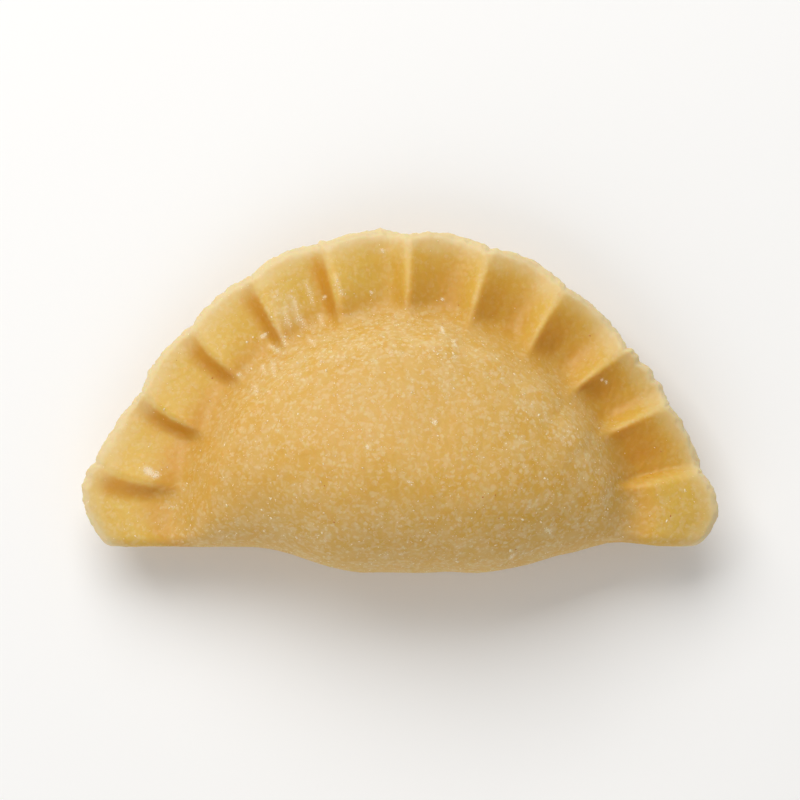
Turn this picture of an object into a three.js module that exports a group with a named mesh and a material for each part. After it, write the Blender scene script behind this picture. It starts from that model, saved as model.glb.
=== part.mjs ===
// One raw pierogi dumpling: a round of egg dough folded over a plump filling and pressed shut
// along a crimped half-moon rim. It lies on its side, on a small flat spot of its belly.
//
// Millimetres. +X runs from tip to tip, +Y from the fold to the rim, +Z up. The origin is under the
// middle of the dumpling, on the surface it rests on.

import * as THREE from "three";

// Driving dimensions: outline, seen square to the rim. Angles run from the right tip, over the top
// of the rim, to the left tip, about the middle of the straight line through both tips.
const rimRadius = 43.3;
const scallopDepth = 0.75;
const rightFlat = { angle: 42, depth: 0.5, spread: 14 };
const leftFlat = { angle: 148, depth: 0.8, spread: 26 };
const rightEar = { angle: 7, reach: 1.9, spread: 8, corner: 4.2, cornerAngle: 7 };
const leftEar = { angle: 170.5, reach: 2.4, spread: 9, corner: 4.6, cornerAngle: 11 };

// The fold: its lower edge at the ears, and how far the belly swells past it.
const earEdge = -0.35;
const foldSwell = 3.6;
const swellFrom = -21;
const swellFullFrom = -5;
const swellFullTo = 11;
const swellTo = 30.5;
const rightNotch = { x: 31, rise: 0.6, spread: 4 };
const earTurn = 0.5;
const bellyTurn = 9.2;
const bellyTurnMiddle = 1;
const bellyTurnWithin = 14;
const earTurnBeyond = 34;

// The crimps: the angles of the raised lines that the press left, with one beyond each tip.
const crimpAngles = [-3, 14, 28, 41, 56.6, 72.6, 88.2, 104.5, 119.7, 134.5, 150.6, 166, 184];
const crimpDepthAtEdge = 1.4;
const leftEdgeShare = 0.8;
const leftEdgeFrom = 104;
const leftEdgeFull = 134;
const crimpDepthAtBelly = 2.8;
const crimpFullWithin = 8;
const crimpGoneBeyond = 14.5;
const crimpMiddle = 0.45;

// How the lines turn, in degrees: they bend back at the cut edge, and the left ones also bow
// towards the tip. Each grows between two angles and is gone again before the tip.
const bendLeft = { most: 1.2, from: 105, full: 140, fullTo: 168, to: 180 };
const bendRight = { most: 0.8, from: 50, full: 28, fullTo: 10, to: 0 };
const bowLeft = { most: 0.4, from: 108, full: 134, fullTo: 171, to: 180 };
const bowEar = { most: 0.2, from: 154, full: 166, fullTo: 171, to: 180 };
const bowPeak = 0.5;
const bowGone = 1.4;

// The pleats between the lines: even troughs on the right, and on the left narrow grooves with a
// long rise to the next line. Each valley lies at a share of the way from one line to the next.
const rightPleat = { valley: 0.38, dropCurve: 1.8, riseCurve: 1.7 };
const leftPleat = { valley: 0.21, dropCurve: 1.5, riseCurve: 1.1 };
const rightPleatsTo = 80;
const leftPleatsFrom = 104;
const earPleat = { valley: 0.1, riseCurve: 1.15, fullAt: 14, goneAt: 40 };
const rightEarDepth = { share: 0.25, at: 12.5, goneAt: 15.5 };
const leftEarDepth = { share: 0.65, at: 167, goneAt: 164.5 };
const leftEarDroop = { angle: 173, depth: 0.8, width: 2.8, spread: 8 };

// The rim: two pressed sheets, thinner towards the cut edge, which is bevelled on both sides, and
// more so where the left ear was pinched.
const rimThickness = 3.3;
const rimThicknessAtEdge = 2.6;
const rimWidth = 9;
const rimDroop = 0.9;
const bevelWidth = 0.7;
const earBevel = { width: 1.5, angle: 172, spread: 9 };
const cutEdgeHeight = 1.4;
const creaseRadius = 1.6;

// The belly: its base circle, its rise over the rim, and how deep it sags under the rim.
const bellyRadius = 34.6;
const bellyRadiusSkew = 1.1;
const bellyPinch = 0.7;
const pinchFullWithin = 10;
const pinchGoneBeyond = 20;
const bellyFillet = 0.2;
const bellyFullness = 2.6;
const bellyWallCurve = 0.78;
const bellyUnevenness = 0.03;
const upperRise = 16;
const lowerRise = 16;
const sagDepth = 8.6;
const sagBlend = 2.4;
const foldRounding = 17;

// The mesh: steps from one crimp to the next, and rings by their distance from the cut edge.
const panelSteps = [0, 0.08, 0.17, 0.28, 0.42, 0.57, 0.72, 0.87];
const tipSteps = panelSteps.map((step, index) => index / panelSteps.length);
const fineRings = [0, 0.6, 1.4, 2.6, 4, 5.4, 6.8, 8.1, 9.3, 10.5, 11.8, 13.4, 15.4];
const middleRings = [17.8, 20.4, 23.2, 26.2, 29.2];
const coarseRings = [32.2, 35.2, 38.2, 41];

const degrees = Math.PI / 180;

function smoothStep(from, to, value) {
  const share = Math.min(1, Math.max(0, (value - from) / (to - from)));
  return share * share * (3 - 2 * share);
}

function bump(distance) {
  return Math.exp(-distance * distance);
}

// The smaller of two heights, with a rounded change over the given blend.
function blendedMinimum(first, second, blend) {
  const closeness = Math.max(0, blend - Math.abs(first - second)) / blend;
  return Math.min(first, second) - (closeness * closeness * blend) / 4;
}

// Which pleat an angle lies in, as 0 at one raised line and 1 at the next.
function pleatPhase(angle) {
  let index = crimpAngles.findIndex((line) => line > angle) - 1;
  index = Math.min(crimpAngles.length - 2, Math.max(0, index));
  return (angle - crimpAngles[index]) / (crimpAngles[index + 1] - crimpAngles[index]);
}

// A drop from one raised line, a round valley, and a rise to the next line.
function trough(phase, valley, dropCurve, riseCurve) {
  if (phase < valley) {
    return Math.pow(1 - phase / valley, dropCurve);
  }
  return Math.pow((phase - valley) / (1 - valley), riseCurve);
}

// How deep the pleats are at an ear, as a share of their depth beyond it.
function earDepth(ear, angle) {
  return ear.share + (1 - ear.share) * smoothStep(ear.at, ear.goneAt, angle);
}

function pleatHeight(angle) {
  const phase = pleatPhase(angle);
  const toLeft = smoothStep(rightPleatsTo, leftPleatsFrom, angle);
  const fromEar = smoothStep(earPleat.fullAt, earPleat.goneAt, angle);
  const valley = earPleat.valley + (rightPleat.valley - earPleat.valley) * fromEar;
  const riseCurve = earPleat.riseCurve + (rightPleat.riseCurve - earPleat.riseCurve) * fromEar;
  const right = trough(phase, valley, rightPleat.dropCurve, riseCurve);
  const left = trough(phase, leftPleat.valley, leftPleat.dropCurve, leftPleat.riseCurve);
  const depth = earDepth(rightEarDepth, angle) * earDepth(leftEarDepth, angle);
  return 1 - depth * (1 - (1 - toLeft) * right - toLeft * left);
}

function cornerCut(ear, fromTip) {
  const inward = Math.min(1, Math.max(0, 1 - fromTip / ear.cornerAngle));
  return ear.corner * (1 - Math.sqrt(1 - inward * inward));
}

// The cut edge's distance from the middle of the fold line.
function outlineRadius(angle) {
  const ears =
    rightEar.reach * bump((angle - rightEar.angle) / rightEar.spread) +
    leftEar.reach * bump((angle - leftEar.angle) / leftEar.spread);
  const corners = cornerCut(rightEar, angle) + cornerCut(leftEar, 180 - angle);
  const inRim = smoothStep(4, 13, angle) * smoothStep(176, 167, angle);
  const scallop = scallopDepth * inRim * (Math.pow(Math.sin(Math.PI * pleatPhase(angle)), 0.7) - 0.5);
  const flatness = (flat) => flat.depth * bump((angle - flat.angle) / flat.spread);
  return rimRadius + ears - corners + scallop - flatness(rightFlat) - flatness(leftFlat);
}

function foldLine(x) {
  const swell = smoothStep(swellFrom, swellFullFrom, x) * smoothStep(swellTo, swellFullTo, x);
  return earEdge - foldSwell * swell + rightNotch.rise * bump((x - rightNotch.x) / rightNotch.spread);
}

// How round the dough turns over at the fold: a tight crease at the ears, wide at the belly.
function foldTurn(x) {
  const towardsEar = smoothStep(bellyTurnWithin, earTurnBeyond, Math.abs(x - bellyTurnMiddle));
  return bellyTurn + (earTurn - bellyTurn) * towardsEar;
}

function grown(turn, angle) {
  return turn.most * smoothStep(turn.from, turn.full, angle) * smoothStep(turn.to, turn.fullTo, angle);
}

// How far a point of the rim is turned from its own angle, in degrees.
function lineTurn(fromEdge, angle) {
  const inward = fromEdge / rimWidth;
  const outward = Math.pow(Math.max(0, 1 - inward), 2);
  const bowed = Math.sin(Math.PI * Math.min(bowPeak, inward)) * smoothStep(bowGone, bowPeak, inward);
  const bend = grown(bendLeft, angle) + grown(bendRight, angle);
  const bow = grown(bowLeft, angle) + grown(bowEar, angle);
  return bow * bowed - bend * outward;
}

// Where a point of the unfolded round comes to lie, seen from above.
function planPoint(fromEdge, angle) {
  const radius = outlineRadius(angle) * (1 - fromEdge / rimRadius);
  const turned = (angle + lineTurn(fromEdge, angle)) * degrees;
  const x = radius * Math.cos(turned);
  const across = radius * Math.sin(turned);
  const turn = foldTurn(x);
  const near = Math.exp(-Math.pow(across / (2.2 * turn + 1), 2));
  const y = Math.hypot(across, turn) - turn * near + foldLine(x) * near;
  return { x, y, fromFold: Math.max(0, y - foldLine(x)) };
}

// The belly's swell as a share of its full rise: 0 on the rim, rounded over at the fold.
function bellyShare(plan, fromEdge, angle) {
  const pinched = bellyPinch * smoothStep(pinchGoneBeyond, pinchFullWithin, fromEdge);
  const pinch = pinched * (pleatHeight(angle) - crimpMiddle);
  const around = Math.atan2(Math.max(0, plan.y), plan.x);
  const base = bellyRadius + bellyRadiusSkew * Math.cos(around) - pinch * smoothStep(2, 12, plan.y);
  const reach = Math.min(1, Math.hypot(plan.x, plan.y) / base);
  const swell = Math.pow(1 - Math.pow(reach, bellyFullness), bellyWallCurve);
  const dome = swell * smoothStep(0, bellyFillet, 1 - reach);
  const turned = 1 - Math.min(1, plan.fromFold / foldRounding);
  const overFold = Math.sqrt(1 - turned * turned);
  const uneven = 1 + bellyUnevenness * Math.sin(plan.x / 9 + 0.5) * Math.cos(plan.y / 8);
  return dome * overFold * uneven;
}

function crimpRise(fromEdge, angle) {
  const inward = smoothStep(0, crimpFullWithin, fromEdge);
  const towardsLeft = smoothStep(leftEdgeFrom, leftEdgeFull, angle);
  const atEdge = crimpDepthAtEdge * (1 - (1 - leftEdgeShare) * towardsLeft);
  const depth = atEdge + (crimpDepthAtBelly - atEdge) * inward;
  const fade = smoothStep(crimpGoneBeyond, crimpFullWithin, fromEdge);
  const rimFall = rimDroop * Math.pow(Math.max(0, 1 - fromEdge / rimWidth), 2);
  const nearEdge = Math.pow(Math.max(0, 1 - fromEdge / leftEarDroop.width), 1.5);
  const earFall = leftEarDroop.depth * nearEdge * bump((angle - leftEarDroop.angle) / leftEarDroop.spread);
  return depth * fade * (pleatHeight(angle) - crimpMiddle) - rimFall - earFall;
}

function halfThickness(plan, fromEdge, angle) {
  const inward = smoothStep(0, rimWidth, fromEdge);
  const thickness = rimThicknessAtEdge + (rimThickness - rimThicknessAtEdge) * inward;
  const width = bevelWidth + earBevel.width * bump((angle - earBevel.angle) / earBevel.spread);
  const bevel = Math.pow(Math.max(0, 1 - fromEdge / width), 1.2);
  const flat = thickness / 2 + (cutEdgeHeight / 2 - thickness / 2) * bevel;
  const turned = 1 - Math.min(1, plan.fromFold / creaseRadius);
  return flat * Math.sqrt(1 - turned * turned);
}

// A point of the skin: the upper sheet for side 1, the lower sheet for side -1.
function skinPoint(fromEdge, angle, side) {
  const plan = planPoint(fromEdge, angle);
  const share = bellyShare(plan, fromEdge, angle);
  const rim = crimpRise(fromEdge, angle) + side * halfThickness(plan, fromEdge, angle);
  const sag = blendedMinimum(lowerRise * share, sagDepth, sagBlend);
  const z = rim + (side > 0 ? upperRise * share : -Math.max(0, sag));
  return new THREE.Vector3(plan.x, plan.y, z);
}

// The angles of the mesh's columns over one sheet, from tip to tip.
function columnAngles() {
  const angles = [];
  for (let pleat = 0; pleat < crimpAngles.length - 1; pleat += 1) {
    const from = Math.max(0, crimpAngles[pleat]);
    const to = Math.min(180, crimpAngles[pleat + 1]);
    const atTip = pleat === 0 || pleat === crimpAngles.length - 2;
    for (const step of atTip ? tipSteps : panelSteps) {
      angles.push(from + (to - from) * step);
    }
  }
  angles.push(180);
  return angles;
}

// The whole skin as one closed mesh: rings about the middle of the fold, from the cut edge inwards,
// each running over the upper sheet and back under the lower one.
function dumplingGeometry() {
  const angles = columnAngles();
  const positions = [];
  const indices = [];

  function addRing(fromEdge, stride) {
    const ring = [];
    const columns = (angles.length - 1) / stride;
    for (let column = 0; column < 2 * columns; column += 1) {
      const side = column <= columns ? 1 : -1;
      const angle = angles[stride * (side > 0 ? column : 2 * columns - column)];
      const point = skinPoint(fromEdge, angle, column % columns === 0 ? 0 : side);
      ring.push(positions.length / 3);
      positions.push(point.x, point.y, point.z);
    }
    return ring;
  }

  function joinRings(outer, inner) {
    const ratio = outer.length / inner.length;
    for (let column = 0; column < inner.length; column += 1) {
      const next = (column + 1) % inner.length;
      for (let step = 0; step < ratio; step += 1) {
        const from = outer[column * ratio + step];
        const to = outer[(column * ratio + step + 1) % outer.length];
        indices.push(from, to, inner[step < ratio / 2 ? column : next]);
      }
      const between = outer[(column * ratio + Math.ceil(ratio / 2)) % outer.length];
      indices.push(inner[column], between, inner[next]);
    }
  }

  const rings = [
    ...fineRings.map((fromEdge) => addRing(fromEdge, 1)),
    ...middleRings.map((fromEdge) => addRing(fromEdge, 2)),
    ...coarseRings.map((fromEdge) => addRing(fromEdge, 4)),
  ];
  for (let index = 1; index < rings.length; index += 1) {
    joinRings(rings[index - 1], rings[index]);
  }

  const middle = skinPoint(rimRadius, 90, 0);
  const innermost = rings[rings.length - 1];
  const middleIndex = positions.length / 3;
  positions.push(middle.x, middle.y, middle.z);
  innermost.forEach((vertex, column) => {
    indices.push(vertex, innermost[(column + 1) % innermost.length], middleIndex);
  });

  const cutEdge = rings[0];
  const half = cutEdge.length / 2;
  for (let column = 0; column < half; column += 1) {
    const upper = cutEdge[column];
    const upperNext = cutEdge[column + 1];
    const lower = cutEdge[(cutEdge.length - column) % cutEdge.length];
    const lowerNext = cutEdge[cutEdge.length - column - 1];
    if (column > 0) {
      indices.push(upper, lower, upperNext);
    }
    if (column < half - 1) {
      indices.push(lower, lowerNext, upperNext);
    }
  }

  const geometry = new THREE.BufferGeometry();
  geometry.setAttribute("position", new THREE.Float32BufferAttribute(positions, 3));
  geometry.setIndex(indices);
  geometry.computeBoundingBox();
  const { min, max } = geometry.boundingBox;
  geometry.translate(-(min.x + max.x) / 2, -(min.y + max.y) / 2, -min.z);
  geometry.computeVertexNormals();
  return geometry;
}

const rawEggDough = new THREE.MeshStandardMaterial({ color: 0xd6ab5e, roughness: 0.75, metalness: 0 });

const dumpling = new THREE.Mesh(dumplingGeometry(), rawEggDough);
dumpling.name = "dumpling";

const pierogi = new THREE.Group();
pierogi.add(dumpling);

export default pierogi;
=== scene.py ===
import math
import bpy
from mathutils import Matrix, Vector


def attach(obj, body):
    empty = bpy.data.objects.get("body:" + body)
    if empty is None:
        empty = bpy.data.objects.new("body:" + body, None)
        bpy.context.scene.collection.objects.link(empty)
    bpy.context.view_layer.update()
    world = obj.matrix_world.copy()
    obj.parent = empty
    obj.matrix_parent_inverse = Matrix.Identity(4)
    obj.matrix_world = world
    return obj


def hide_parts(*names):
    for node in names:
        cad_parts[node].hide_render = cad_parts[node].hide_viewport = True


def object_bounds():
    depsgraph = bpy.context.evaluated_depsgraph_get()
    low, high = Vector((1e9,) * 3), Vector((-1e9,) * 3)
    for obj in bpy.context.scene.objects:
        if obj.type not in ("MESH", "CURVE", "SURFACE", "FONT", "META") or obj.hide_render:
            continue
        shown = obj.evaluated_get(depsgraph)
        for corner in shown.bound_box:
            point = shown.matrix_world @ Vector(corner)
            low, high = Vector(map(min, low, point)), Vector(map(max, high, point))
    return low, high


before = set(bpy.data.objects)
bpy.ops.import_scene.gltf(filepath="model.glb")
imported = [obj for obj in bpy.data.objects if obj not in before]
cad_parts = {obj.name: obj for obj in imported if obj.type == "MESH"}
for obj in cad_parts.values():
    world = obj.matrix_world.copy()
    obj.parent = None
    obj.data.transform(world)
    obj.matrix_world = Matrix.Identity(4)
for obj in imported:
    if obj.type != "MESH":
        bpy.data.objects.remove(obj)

# A raw pierogi dumpling of floured egg dough, pressed shut along a crimped rim. The skin is made in
# millimetres from the same few sizes as the solid it stands for, then laid in that solid's box.
# Angles run in degrees from the right tip, over the top of the rim, to the left tip.

from types import SimpleNamespace

import bpy
import numpy as np
from bpy.props import FloatProperty, FloatVectorProperty, IntProperty, PointerProperty
from mathutils import Vector

bl_info = {
    "name": "Pierogi Dumpling",
    "version": (1, 0, 0),
    "blender": (4, 5, 0),
    "location": "3D View > Sidebar > Pierogi",
    "description": "Makes a raw, floured, half-moon dumpling with a crimped rim",
    "category": "Add Mesh",
}

MM = 0.001
CAD_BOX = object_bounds()
NODE = "dumpling"
BODY = "root"
SKIN = "dough_skin"

# The outline, seen square to the rim.
RIGHT_EAR = SimpleNamespace(angle=7, reach=1.9, spread=8, corner=4.2, corner_angle=7)
LEFT_EAR = SimpleNamespace(angle=170.5, reach=2.4, spread=9, corner=4.6, corner_angle=11)
RIGHT_FLAT = SimpleNamespace(angle=42, depth=0.5, spread=14)
LEFT_FLAT = SimpleNamespace(angle=148, depth=0.8, spread=26)

# What grows from one angle to another and is gone again at a third: the scallops between the raised
# lines, how far the lines bend back at the cut edge, and how far the left ones bow to the tip.
SCALLOP = SimpleNamespace(most=0.75, begin=4, full=13, full_to=167, gone=176)
BEND_LEFT = SimpleNamespace(most=1.2, begin=105, full=140, full_to=168, gone=180)
BEND_RIGHT = SimpleNamespace(most=0.8, begin=50, full=28, full_to=10, gone=0)
BOW_LEFT = SimpleNamespace(most=0.4, begin=108, full=134, full_to=171, gone=180)
BOW_EAR = SimpleNamespace(most=0.2, begin=154, full=166, full_to=171, gone=180)
SCALLOP_CURVE = 0.7
BOW_PEAK, BOW_GONE = 0.5, 1.4

# The fold, and how far the belly swells past it.
EAR_EDGE = -0.35
FOLD_SWELL = 3.6
SWELL_FROM, SWELL_FULL_FROM, SWELL_FULL_TO, SWELL_TO = -21, -5, 11, 30.5
RIGHT_NOTCH = SimpleNamespace(x=31, rise=0.6, spread=4)
EAR_TURN, BELLY_TURN = 0.5, 9.2
BELLY_TURN_MIDDLE, BELLY_TURN_WITHIN, EAR_TURN_BEYOND = 1, 14, 34
FOLD_REACH, LEAST_FOLD_REACH = 2.2, 1

# The raised lines that the press left, with one beyond each tip, and the pleats between them: even
# troughs on the right, and on the left narrow grooves with a long rise to the next line. Each valley
# lies at a share of the way from one line to the next.
CRIMP_ANGLES = np.array([-3, 14, 28, 41, 56.6, 72.6, 88.2, 104.5, 119.7, 134.5, 150.6, 166, 184])
CRIMP_MIDDLE = 0.45
RIGHT_PLEAT = SimpleNamespace(valley=0.38, drop_curve=1.8, rise_curve=1.7)
EAR_PLEAT = SimpleNamespace(valley=0.1, rise_curve=1.15, full_at=14, gone_at=40)
LEFT_PLEAT = SimpleNamespace(valley=0.21, drop_curve=1.5, rise_curve=1.1)
RIGHT_PLEATS_TO, LEFT_PLEATS_FROM = 80, 104
RIGHT_EAR_DEPTH = SimpleNamespace(share=0.25, at=12.5, gone_at=15.5)
LEFT_EAR_DEPTH = SimpleNamespace(share=0.65, at=167, gone_at=164.5)
LEFT_EAR_DROOP = SimpleNamespace(angle=173, depth=0.8, width=2.8, spread=8, curve=1.5)
LEFT_EAR_BEVEL = SimpleNamespace(angle=172, spread=9)
LEFT_EDGE = SimpleNamespace(share=0.8, begin=104, full=134)
CRIMP_FULL_WITHIN, CRIMP_GONE_BEYOND = 8, 14.5
BEVEL_CURVE = 1.2
# The raised lines are rounded by a mean over neighbouring places: shares of a pleat, and weights.
ROUNDING = ((-0.08, 0.12), (-0.04, 0.23), (0, 0.3), (0.04, 0.23), (0.08, 0.12))

# Painted shade on the lee of each raised line, the steep side which looks away from the rim's top and from
# the light, by shares of a pleat and by angles.
RIGHT_LEE = SimpleNamespace(begin=0.3, growth=0.42, full_to=0.93, from_angle=13, full_from=16)
FAINTER_LEE = SimpleNamespace(share=0.35, begin=50, full=85)
LEFT_LEE = SimpleNamespace(full=0.06, full_to=0.13, gone=0.36, full_to_angle=169.5, gone_at_angle=173)

# The belly: how its base, its wall and its top are rounded.
BASE_SKEW = 1.1
PINCH, PINCH_FULL_WITHIN, PINCH_GONE_BEYOND = 0.7, 10, 20
PINCH_FROM_FOLD, PINCH_FULL_FROM_FOLD = 2, 12
FULLNESS = 2.6
WALL_CURVE = 0.78
FILLET = 0.2
UNEVEN = SimpleNamespace(share=0.03, length=9, width=8, shift=0.5)
FOLD_ROUNDING = 17
CREASE_RADIUS = 1.6
SAG_BLEND = 2.4

# Unevenness of soft dough: distance from hill to hill and seed, with the share of the height in front
# where waves add up. Lumps and dimples, pores, the ragged cut edge, and chips where a long wave
# passes a limit.
LUMPS, DIMPLES = (9, 1), (3.2, 2)
LUMPS_ON_RIM, LUMPS_GROW_FROM, LUMPS_FULL_FROM, DIMPLE_SHARE = 0.35, 6, 13, 0.4
PORES = ((1, 1.1, 3), (0.8, 0.7, 4))
RAGGED_EDGE = ((0.13, 2.4, 5), (0.10, 0.9, 6))
CHIPS = SimpleNamespace(depth=0.35, limit=0.9, long_wave=(4.5, 7), fine_wave=(0.8, 8))
CHIP_MIDDLE, CHIP_VARIETY = 0.6, 0.4
RAGGED_WITHIN, RAGGED_GONE_BEYOND = 0.2, 2.2
RAGGED_FROM_TIP, RAGGED_FULL_FROM_TIP = 1, 4
# Marks on the cut edge: angle, outward reach in millimetres and spread in degrees.
EDGE_MARKS = [
    (104.6, 0.55, 0.5), (93.5, 0.35, 0.9), (40.2, 0.35, 0.5), (37.4, -0.5, 0.8), (33.6, -0.35, 0.6),
]

# Flour that clumped: place from the dumpling's middle, length, width and direction in degrees.
CLUMPS = [
    (-35.2, -10.0, 1.3, 0.7, 150), (-34.2, -10.6, 0.7, 0.5, 20), (-19.2, 9.1, 0.9, 0.35, 35),
    (5.9, 9.6, 0.8, 0.4, 110), (7.6, 7.6, 0.9, 0.25, 130), (20.5, -18.3, 0.7, 0.35, 150),
    (4.8, -3.4, 0.5, 0.4, 0), (15.5, -21.9, 0.5, 0.4, 60), (-2.5, 21.2, 0.4, 0.3, 0),
    (-10.6, 14.6, 0.4, 0.3, 40), (-4.0, 15.2, 0.35, 0.3, 0), (28.4, 2.9, 0.3, 0.25, 0),
    (29.0, 2.6, 0.3, 0.25, 90), (1.4, -11.6, 0.45, 0.35, 20), (-4.4, -6.9, 0.4, 0.25, 80),
    (6.0, 14.3, 0.3, 0.25, 0), (-22.6, 3.6, 0.4, 0.3, 30),
]
# Flour that was rubbed into streaks: from and to, from the dumpling's middle.
STREAKS = [
    (-13.4, 17.0, -12.2, 13.6), (-15.0, 14.9, -14.1, 11.2), (-16.4, 13.2, -15.4, 10.4),
    (-9.2, 17.9, -8.1, 14.6), (-17.9, 5.6, -17.4, 3.1), (-18.6, 7.9, -16.9, 6.8),
    (-20.4, 2.6, -19.8, 0.4), (-14.2, 12.2, -13.2, 10.1), (-11.6, 12.4, -10.8, 10.6),
    (-16.8, 9.4, -15.9, 7.6), (-13.0, 8.8, -11.8, 7.6), (-19.4, 5.2, -18.8, 3.4),
]
STREAK_WIDTH, STREAK_SPREAD, STREAK_COVER = 0.32, 0.22, 0.34
# A streak grows and fades over these shares of its length, and a clump's flour thins out from its
# middle, where most of its grains lie.
STREAK_BEGIN, STREAK_FULL, STREAK_FULL_TO, STREAK_END = -0.1, 0.25, 0.9, 1.1
CAKED_REACH, CLUMP_CROWDING = 0.6, 2.6
GRAINS_PER_SQUARE_MM, GRAINS_PER_STREAK_MM, LEAST_GRAINS = 90, 5, 5
# Bran specks that stand out, by their places from the dumpling's middle.
BRAN_SPECKS = [(12.2, 3.4), (37.8, -16.2), (36.6, -7.2), (26.8, 9.2), (13.1, -13.4), (-26.4, 3.2)]

# How thickly the film of flour lies: over the whole dough, the whole belly, the underside, and more
# at the belly's base by angle, on its flanks by place, beside the fold, and on parts of the rim.
FLOUR_EVERYWHERE, FLOUR_ON_BELLY, FLOUR_UNDERNEATH, BELLY_FLOUR_UNDERNEATH = 0.14, 0.34, 0.3, 0.25
LEAST_FLOUR = 0.05
FLOUR_FROM, FLOUR_FULL, FLOUR_WAVES = 6.5, 14.5, ((0.8, 4, 23),)
BELLY_BASE, BASE_SPREAD = 12, 4.5
BASE_FLOUR = (
    SimpleNamespace(most=0.5, angle=116, spread=26),
    SimpleNamespace(most=0.8, angle=84, spread=24),
)
FLANK_FLOUR = (
    SimpleNamespace(most=0.1, x=-22, y=12, along=10, up=12),
    SimpleNamespace(most=0.34, x=24, y=13, along=10, up=12),
)
FOLD_FLOUR = SimpleNamespace(most=0.38, full_within=0, gone_beyond=7)
RUBBED_FLOUR = SimpleNamespace(most=1, angle=116.5, spread=5, begin=2, full=6)
LEFT_RIM_FLOUR = SimpleNamespace(most=0.12, begin=112, full=126, full_to=160, gone=166)
EAR_FLOUR = (
    SimpleNamespace(most=0.34, begin=14, full=8),
    SimpleNamespace(most=0.2, begin=168, full=172),
)
# Patches in the film: thickness, distance from patch to patch, and seed.
FLOUR_PATCHES = ((0.16, 7, 21), (0.10, 2.5, 22))

# Bare dough and painted shade: how much darker orange lies in the right and the left valleys, from the cut
# edge inwards, partly bare dough and partly painted shade, and how much painted shade lies in the crease at
# the belly's foot and on its left flank.
BARE_RIGHT, BARE_LEFT, BARE_CURVE = 0.75, 0.05, 1.3
BARE_AT_EDGE, BARE_FROM, BARE_FULL_RIGHT, BARE_FULL_LEFT = 0.3, 0.5, 7, 4
BARE_FULL_WITHIN, BARE_GONE_BEYOND = 8.5, 12.5
SHADE_AT_FOOT = SimpleNamespace(most=0.4, from_edge=9.5, spread=2.2)
SHADE_ON_FLANK = SimpleNamespace(most=0.25, x=-26, y=12, along=8, up=9)
BARE_UNDERNEATH, BARE_WITHOUT_FLOUR = 0.3, 0.75

# Dry dough: how far the rim's colour runs each side of the belly's edge, the pale outer rim and the cut
# edge's lip; and the painted highlight, a thin pale line along each raised line.
RIM_COLOUR_WITHIN, RIM_COLOUR_GONE = 1.5, 2.5
OUTER_RIM, OUTER_RIM_GONE, OUTER_RIM_WAVES = 0.5, 4, ((0.5, 5, 32),)
CREST_WIDTH, CREST_WAVES = 0.5, ((0.12, 2, 31),)
CREST_FROM_EDGE, CREST_FULL_FROM_EDGE = 0.5, 2.5
PLEAT_WIDTH = 11
LIP_WIDTH, LIP_FULL = 1.3, 0.3
LIP_BROADER = SimpleNamespace(most=0.5, angle=95, spread=26)
LIP_WAVES = ((0.3, 3.5, 33), (0.15, 1.1, 34))

# Grains: how much they crowd where flour lies thick, how their lengths spread about the middle one,
# how flat they are and how deep they sit. All are uneven, and narrower than long. None lies where
# the dumpling rests, and what is laid on top needs dough that looks upwards.
DUST = SimpleNamespace(crowding=1.4, spread=0.35, shortest=0.5, longest=2.2, flatness=0.3, sunk=0.4)
SEMOLINA = SimpleNamespace(crowding=1.8, spread=0.3, shortest=0.5, longest=2, flatness=0.28, sunk=0.45)
CLUMPED = SimpleNamespace(shortest=0.9, longest=1.8, flatness=0.3, sunk=0.4)
BRAN = SimpleNamespace(crowding=0.2, shortest=0.6, longest=1.4, flatness=0.25, sunk=0.6)
LOWEST_GRAIN = 0.4 * MM
LEAST_UPWARD = 0.2
NARROWEST, WIDEST = 0.4, 0.8
FLATTEST, FULLEST = 0.7, 1.3
GRAIN_BUMPS, LARGEST_BUMP = 0.22, 1.6

# The dough's patterns: size in millimetres, detail and distortion. They are the patches where it was
# worked more, the mottle that gluten and egg leave, the film of flour, the curls that flour clung in,
# the gaps in caked flour, the sway of the flecks, and the fine grain of the surface.
DOUGH_NOISES = {
    "patches": (14, 3, 0),
    "mottle": (0.55, 3, 0.6),
    "film": (2.6, 4, 0),
    "curls": (0.8, 1, 0.5),
    "gaps": (0.25, 2, 0),
    "sway": (0.5, 1, 0),
    "grain": (0.4, 3, 0.3),
}
# Single grains of flour, 0.1 mm wide, are too fine to show, so they are drawn as soft flecks of 0.4 mm.
FLECK_SPACING, FLECK_SWAY = 0.8, 0.9

# The mesh: columns from one crimp to the next, at steps closer beside each raised line, and rows at
# these distances from the cut edge.
COLUMNS_PER_PLEAT = 44
PANEL_STEPS = [0, 0.08, 0.17, 0.28, 0.42, 0.57, 0.72, 0.87, 1]
FINE_ROWS = np.concatenate([[0, 0.15, 0.32, 0.5], np.linspace(0.7, 15.4, 56)])
MIDDLE_ROWS = np.linspace(15.75, 30, 38)
COARSE_ROWS = np.linspace(30.4, 42.8, 28)
CUT_EDGE_ROWS = 5
CUT_EDGE_BULGE = 0.16

# The lights' places and sizes, in metres from the dumpling's origin.
KEY_SOFTBOX = SimpleNamespace(name="key_softbox", place=(-0.2, 0.55, 0.66), size=(0.8, 0.6))
FILL_PANEL = SimpleNamespace(name="fill_panel", place=(-0.3, -0.6, 0.55), size=(0.9, 0.7))
CAMERA_REACH = 20
FLOOR_CORNERS = 96


def linear(hex_colour):
    """An sRGB colour written as #RRGGBB, as linear light."""
    shares = [int(hex_colour[i : i + 2], 16) / 255 for i in (1, 3, 5)]
    return tuple(s / 12.92 if s <= 0.04045 else ((s + 0.055) / 1.055) ** 2.4 for s in shares)


def length(name, description, default_mm):
    """A length the user may change, stated here in millimetres."""
    return FloatProperty(
        name=name, description=description, default=default_mm * MM,
        unit="LENGTH", subtype="DISTANCE", precision=5,
    )


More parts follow.
